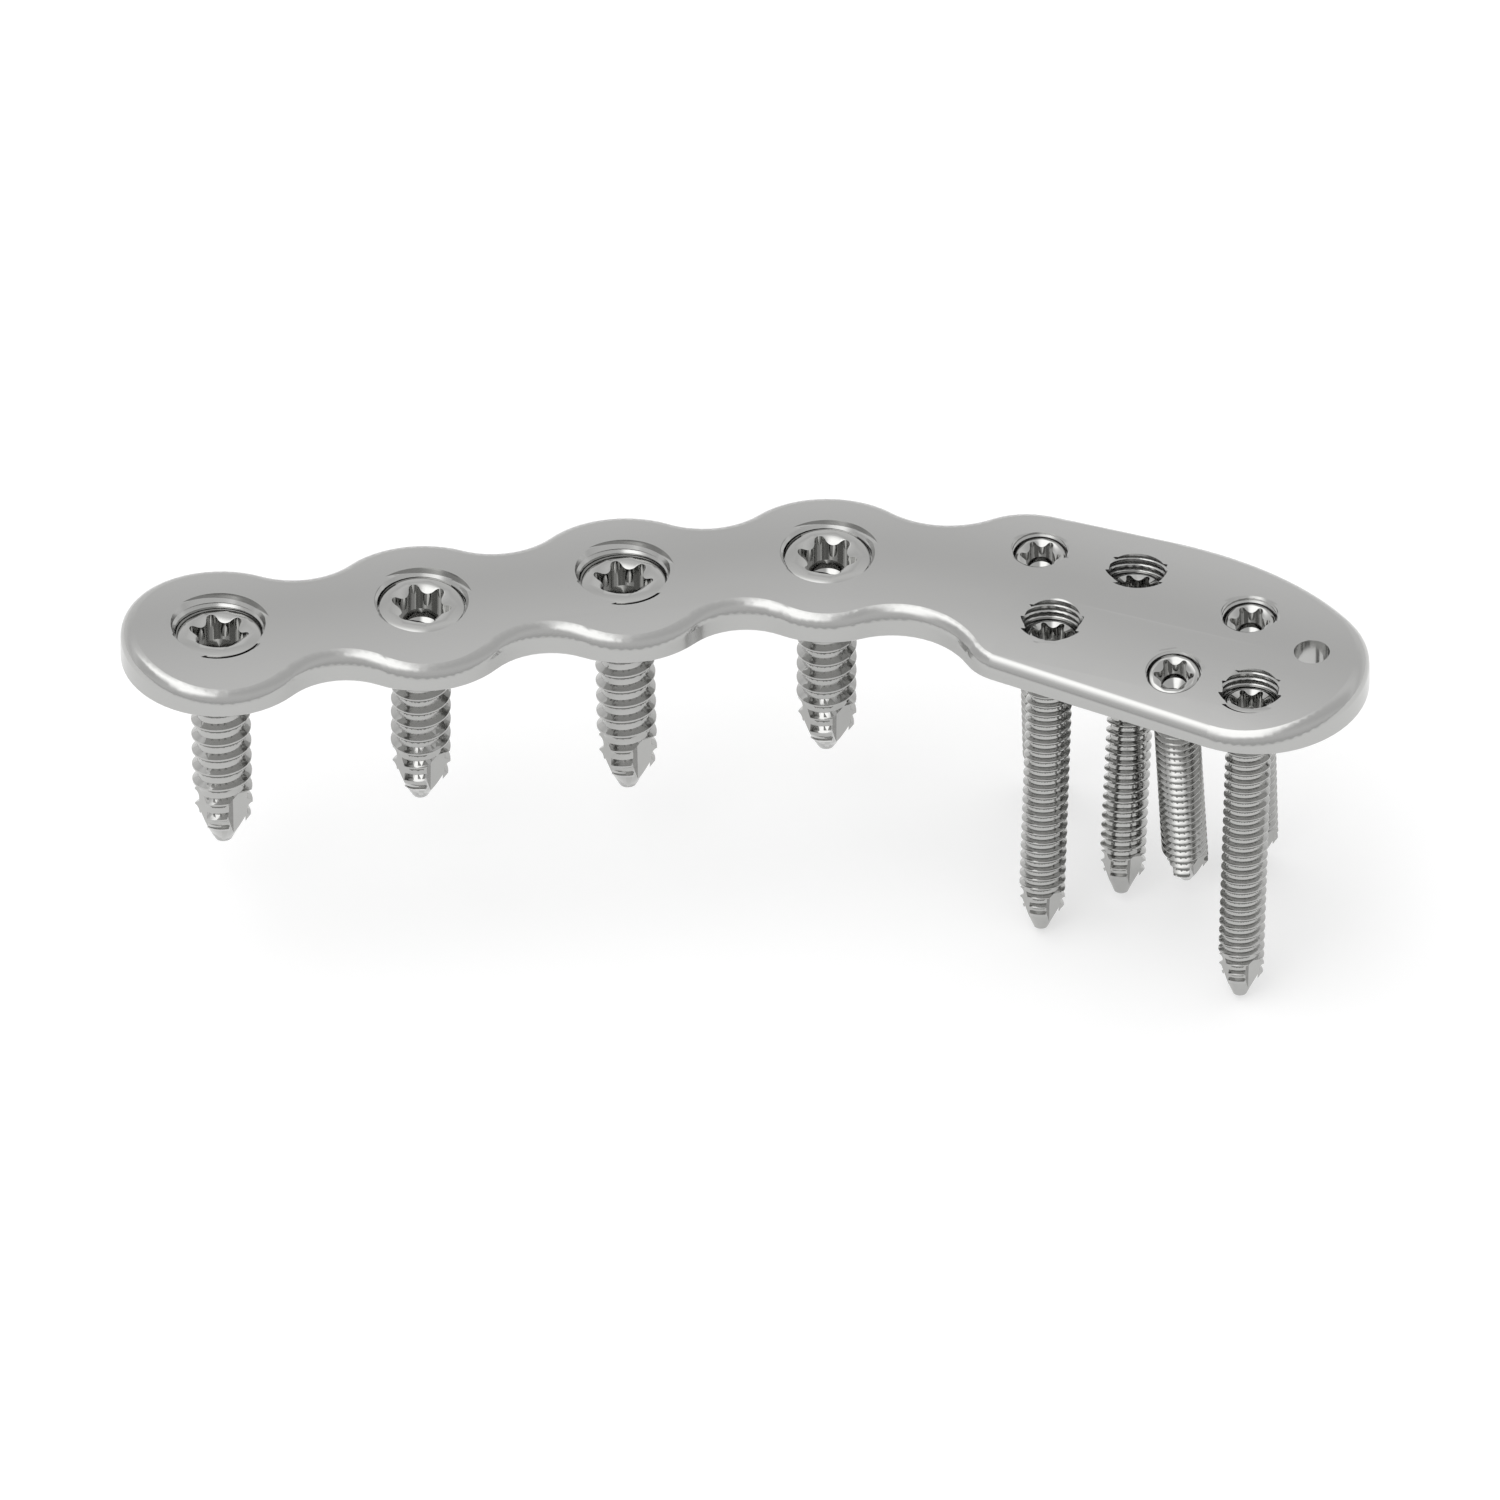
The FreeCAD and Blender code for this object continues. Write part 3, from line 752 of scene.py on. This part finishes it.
def copy_of_plate():
    """Copy of the CAD plate in millimetres, with its doubled corners merged."""
    copy = nodes["plate"].copy()
    copy.data = nodes["plate"].data.copy()
    copy.name = "plate_detail"
    bpy.context.scene.collection.objects.link(copy)
    copy.matrix_world = Matrix.Scale(1 / MM, 4) @ nodes["plate"].matrix_world
    apply_place(copy)
    bpy.ops.object.mode_set(mode="EDIT")
    bpy.ops.mesh.select_all(action="SELECT")
    bpy.ops.mesh.remove_doubles(threshold=MERGE_DISTANCE)
    bpy.ops.mesh.customdata_custom_splitnormals_clear()
    bpy.ops.object.mode_set(mode="OBJECT")
    mend_normals(copy)
    return copy


plate = copy_of_plate()
for kind, hole, size, places in (
    ("shaft", SHAFT_HOLE, SHAFT, SHAFT_PLACES),
    ("head", HEAD_HOLE, HEAD, HEAD_PLACES),
):
    for x, y, lean, sunk in places:
        cutters = [hole_coil(hole)]
        if kind == "shaft":
            cutters.append(lead_in_cone())
        for cutter in cutters:
            cutter.matrix_world = Matrix.Scale(1 / MM, 4) @ seat_matrix(size, x, y, lean)
            apply_place(cutter)
            combine(plate, cutter, "DIFFERENCE")
        if kind == "shaft":
            combine(plate, run_out_cutter(x, y), "DIFFERENCE")
print("Plate:", len(plate.data.polygons), "faces")

# %% [markdown]
# ## Smooth shading of the plate
#
# The CAD plate is shaded smoothly over long, thin triangles. The booleans lose
# that shading, and a fresh one would show the triangles as streaks. So each face
# that is left of the old surface takes its corners' normals back from the CAD
# plate, and only the cuts are shaded by their own angles.

# %% Shade the cut plate
PLATE_SMOOTH_ANGLE = 30.0
# How near to the old surface a face of it still lies, in mm
ON_SURFACE = 0.002
# How far a corner is drawn into its own face before the old triangle is looked up
DRAWN_IN = 0.03
# Least cosine between an old normal and the face that takes it
LEAST_COSINE = 0.8


def smooth_like(copy, source):
    """Gives the faces left of the source's surface the source's own corner normals."""
    triangles = source.data.loop_triangles
    turn = source.matrix_world.to_3x3().normalized()
    corners = [source.matrix_world @ corner.co / MM for corner in source.data.vertices]
    finder = BVHTree.FromPolygons(corners, [tuple(one.vertices) for one in triangles])
    old = [turn @ one.vector for one in source.data.corner_normals]
    new = [one.vector.copy() for one in copy.data.corner_normals]
    for face in copy.data.polygons:
        if finder.find_nearest(face.center)[3] > ON_SURFACE:
            continue
        for loop in face.loop_indices:
            corner = copy.data.vertices[copy.data.loops[loop].vertex_index].co
            near, way, index, gap = finder.find_nearest(corner.lerp(face.center, DRAWN_IN))
            from_corners = [corners[at] for at in triangles[index].vertices]
            from_normals = [old[at] for at in triangles[index].loops]
            normal = barycentric_transform(near, *from_corners, *from_normals)
            if normal.dot(face.normal) > LEAST_COSINE:
                new[loop] = normal.normalized()
    copy.data.normals_split_custom_set(new)


activate(plate)
bpy.ops.object.shade_smooth_by_angle(angle=math.radians(PLATE_SMOOTH_ANGLE))
smooth_like(plate, nodes["plate"])
plate.scale = (MM, MM, MM)
apply_place(plate)
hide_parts("plate")
print("Plate", round(plate.dimensions.x / MM, 1), "mm long")

# %% [markdown]
# ## Steel
#
# Both steels are bare metal. The plate is tumbled to a satin finish, and the
# turned screws are a little brighter, so each has a material of its own. The
# fine unevenness of the polish is a noise in the roughness. A uniform roughness
# would look like a mirror behind a filter.

# %% Make the materials
PLATE_COLOUR = (0.458, 0.458, 0.45)
PLATE_ROUGHNESS = 0.18
SCREW_COLOUR = (0.445, 0.445, 0.436)
SCREW_ROUGHNESS = 0.1
GRAIN_SCALE = 900.0
GRAIN_DETAIL = 3.0
ROUGHNESS_SPREAD = 0.03


def steel(name, colour, roughness):
    """Bare metal with a fine unevenness in its polish."""
    material = bpy.data.materials.new(name)
    material.use_nodes = True
    tree = material.node_tree
    shader = tree.nodes["Principled BSDF"]
    shader.inputs["Base Color"].default_value = (*colour, 1.0)
    shader.inputs["Metallic"].default_value = 1.0
    place = tree.nodes.new("ShaderNodeTexCoord")
    grain = tree.nodes.new("ShaderNodeTexNoise")
    grain.inputs["Scale"].default_value = GRAIN_SCALE
    grain.inputs["Detail"].default_value = GRAIN_DETAIL
    spread = tree.nodes.new("ShaderNodeMapRange")
    spread.inputs["To Min"].default_value = roughness - ROUGHNESS_SPREAD
    spread.inputs["To Max"].default_value = roughness + ROUGHNESS_SPREAD
    tree.links.new(place.outputs["Object"], grain.inputs["Vector"])
    tree.links.new(grain.outputs["Fac"], spread.inputs["Value"])
    tree.links.new(spread.outputs["Result"], shader.inputs["Roughness"])
    return material


def finish_with(obj, material):
    """Gives a piece its only material."""
    obj.data.materials.clear()
    obj.data.materials.append(material)


plate_steel = steel("plate_steel", PLATE_COLOUR, PLATE_ROUGHNESS)
screw_steel = steel("screw_steel", SCREW_COLOUR, SCREW_ROUGHNESS)
finish_with(plate, plate_steel)
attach(plate, "root")
for piece in screws:
    finish_with(piece, screw_steel)
    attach(piece, "root")
print("Materials:", plate_steel.name, screw_steel.name)

# %% [markdown]
# ## Studio
#
# Polished metal shows what stands round it, so the light is a part of the
# picture. The photograph has a white page, a mid grey reflection on top of the
# plate, and one soft box overhead and to the left, which draws the bright line
# along the rounded rim. A dark line runs just below that one, where the rim
# mirrors the floor far in front. So the paper glows a little, to stay white
# behind the soft shadow, and its mirror image loses that glow far in front.


# %% Helpers for shading by nodes
def edge_fade(tree, coordinate, span):
    """Node that fades from 0 to 1 while a coordinate goes through the span."""
    fade = tree.nodes.new("ShaderNodeMapRange")
    fade.interpolation_type = "SMOOTHSTEP"
    fade.inputs["From Min"].default_value = span[0]
    fade.inputs["From Max"].default_value = span[1]
    tree.links.new(coordinate, fade.inputs["Value"])
    return fade.outputs["Result"]


def joined(tree, operation, first, second):
    """Output of a math node with two inputs, each a number or an output."""
    node = tree.nodes.new("ShaderNodeMath")
    node.operation = operation
    for socket, source in zip(node.inputs, (first, second)):
        if isinstance(source, (int, float)):
            socket.default_value = source
        else:
            tree.links.new(source, socket)
    return node.outputs["Value"]


# %% Lay the paper floor
# Size in metres, height in mm
FLOOR_SIZE = 3
FLOOR_HEIGHT = -18.0
PAPER_WHITE = 0.62
PAPER_ROUGHNESS = 0.9
PAPER_GLOW = 0.44
# Places along Y, in mm, between which the mirrored paper loses its glow
DIM_FROM = -56.0
DIM_FULL = -66.0


def paper_material():
    """White paper that glows for the camera, and near the object in reflections too."""
    material = bpy.data.materials.new("paper")
    material.use_nodes = True
    tree = material.node_tree
    shader = tree.nodes["Principled BSDF"]
    shader.inputs["Base Color"].default_value = (PAPER_WHITE, PAPER_WHITE, PAPER_WHITE, 1)
    shader.inputs["Roughness"].default_value = PAPER_ROUGHNESS
    shader.inputs["Specular IOR Level"].default_value = 0.0
    shader.inputs["Emission Color"].default_value = (1, 1, 1, 1)
    place = tree.nodes.new("ShaderNodeTexCoord")
    parts = tree.nodes.new("ShaderNodeSeparateXYZ")
    tree.links.new(place.outputs["Object"], parts.inputs["Vector"])
    fade = edge_fade(tree, parts.outputs["Y"], (DIM_FULL * MM, DIM_FROM * MM))
    rays = tree.nodes.new("ShaderNodeLightPath").outputs
    mirrored = joined(tree, "ADD", rays["Is Glossy Ray"], rays["Is Transmission Ray"])
    seen = joined(tree, "ADD", joined(tree, "MULTIPLY", mirrored, fade), rays["Is Camera Ray"])
    glow = joined(tree, "MULTIPLY", seen, PAPER_GLOW)
    tree.links.new(glow, shader.inputs["Emission Strength"])
    return material


start_fresh()
bpy.ops.mesh.primitive_plane_add(size=FLOOR_SIZE, location=(0, 0, FLOOR_HEIGHT * MM))
floor = bpy.context.object
floor.name = "floor"
floor.data.materials.append(paper_material())
print("Floor at height", FLOOR_HEIGHT, "mm, below the bone face")

# %% Shade the walls of the studio
# Angle in degrees up from the rear horizon, over the top, to the front horizon,
# and the brightness of the studio's walls and ceiling there
WALLS = [
    (0, 0.95),
    (20, 0.95),
    (40, 0.8),
    (60, 1.0),
    (78, 0.78),
    (110, 0.74),
    (140, 0.85),
    (165, 0.8),
    (180, 0.7),
]


def wall_shade(tree, y, z):
    """Output with the walls' brightness in the direction of a ray."""
    angle = joined(tree, "ARCTAN2", z, y)
    ramp = tree.nodes.new("ShaderNodeValToRGB")
    tree.links.new(joined(tree, "DIVIDE", angle, math.pi), ramp.inputs["Fac"])
    stops = ramp.color_ramp.elements
    stops[0].color = (*[WALLS[0][1]] * 3, 1)
    stops[1].color = (*[WALLS[-1][1]] * 3, 1)
    for degrees, level in WALLS[1:-1]:
        stop = stops.new(degrees / 180)
        stop.color = (level, level, level, 1)
    return ramp.outputs["Color"]


print("Walls have", len(WALLS), "levels of brightness")

# %% Hang the soft box
SOFT_BOX_GAIN = 1.9
# Start and end of the soft box's fading edges, as parts of a unit vector
SOFT_BOX_LEFT = (-0.68, -0.38)
SOFT_BOX_RIGHT = (0.12, -0.1)
SOFT_BOX_FRONT = (-0.85, -0.45)
SOFT_BOX_REAR = (0.5, 0.15)
SOFT_BOX_FOOT = (0.05, 0.3)


def soft_box(tree, x, y, z):
    """Output that is 1 in the soft box and fades to 0 over its edges."""
    left, right = edge_fade(tree, x, SOFT_BOX_LEFT), edge_fade(tree, x, SOFT_BOX_RIGHT)
    front, rear = edge_fade(tree, y, SOFT_BOX_FRONT), edge_fade(tree, y, SOFT_BOX_REAR)
    across = joined(tree, "MULTIPLY", left, right)
    along = joined(tree, "MULTIPLY", front, rear)
    overhead = joined(tree, "MULTIPLY", across, along)
    return joined(tree, "MULTIPLY", overhead, edge_fade(tree, z, SOFT_BOX_FOOT))


def studio_world():
    """World whose walls are shaded by angle, with one soft box overhead."""
    world = bpy.data.worlds.new("studio")
    bpy.context.scene.world = world
    world.use_nodes = True
    tree = world.node_tree
    way = tree.nodes.new("ShaderNodeTexCoord")
    parts = tree.nodes.new("ShaderNodeSeparateXYZ")
    tree.links.new(way.outputs["Generated"], parts.inputs["Vector"])
    x, y, z = (parts.outputs[name] for name in "XYZ")
    shade = wall_shade(tree, y, z)
    gain = joined(tree, "MULTIPLY", soft_box(tree, x, y, z), SOFT_BOX_GAIN)
    background = tree.nodes["Background"]
    tree.links.new(shade, background.inputs["Color"])
    tree.links.new(joined(tree, "ADD", gain, 1.0), background.inputs["Strength"])


studio_world()
bpy.context.scene.view_settings.view_transform = "Standard"
print("Soft box", 1 + SOFT_BOX_GAIN, "times as bright as the walls")
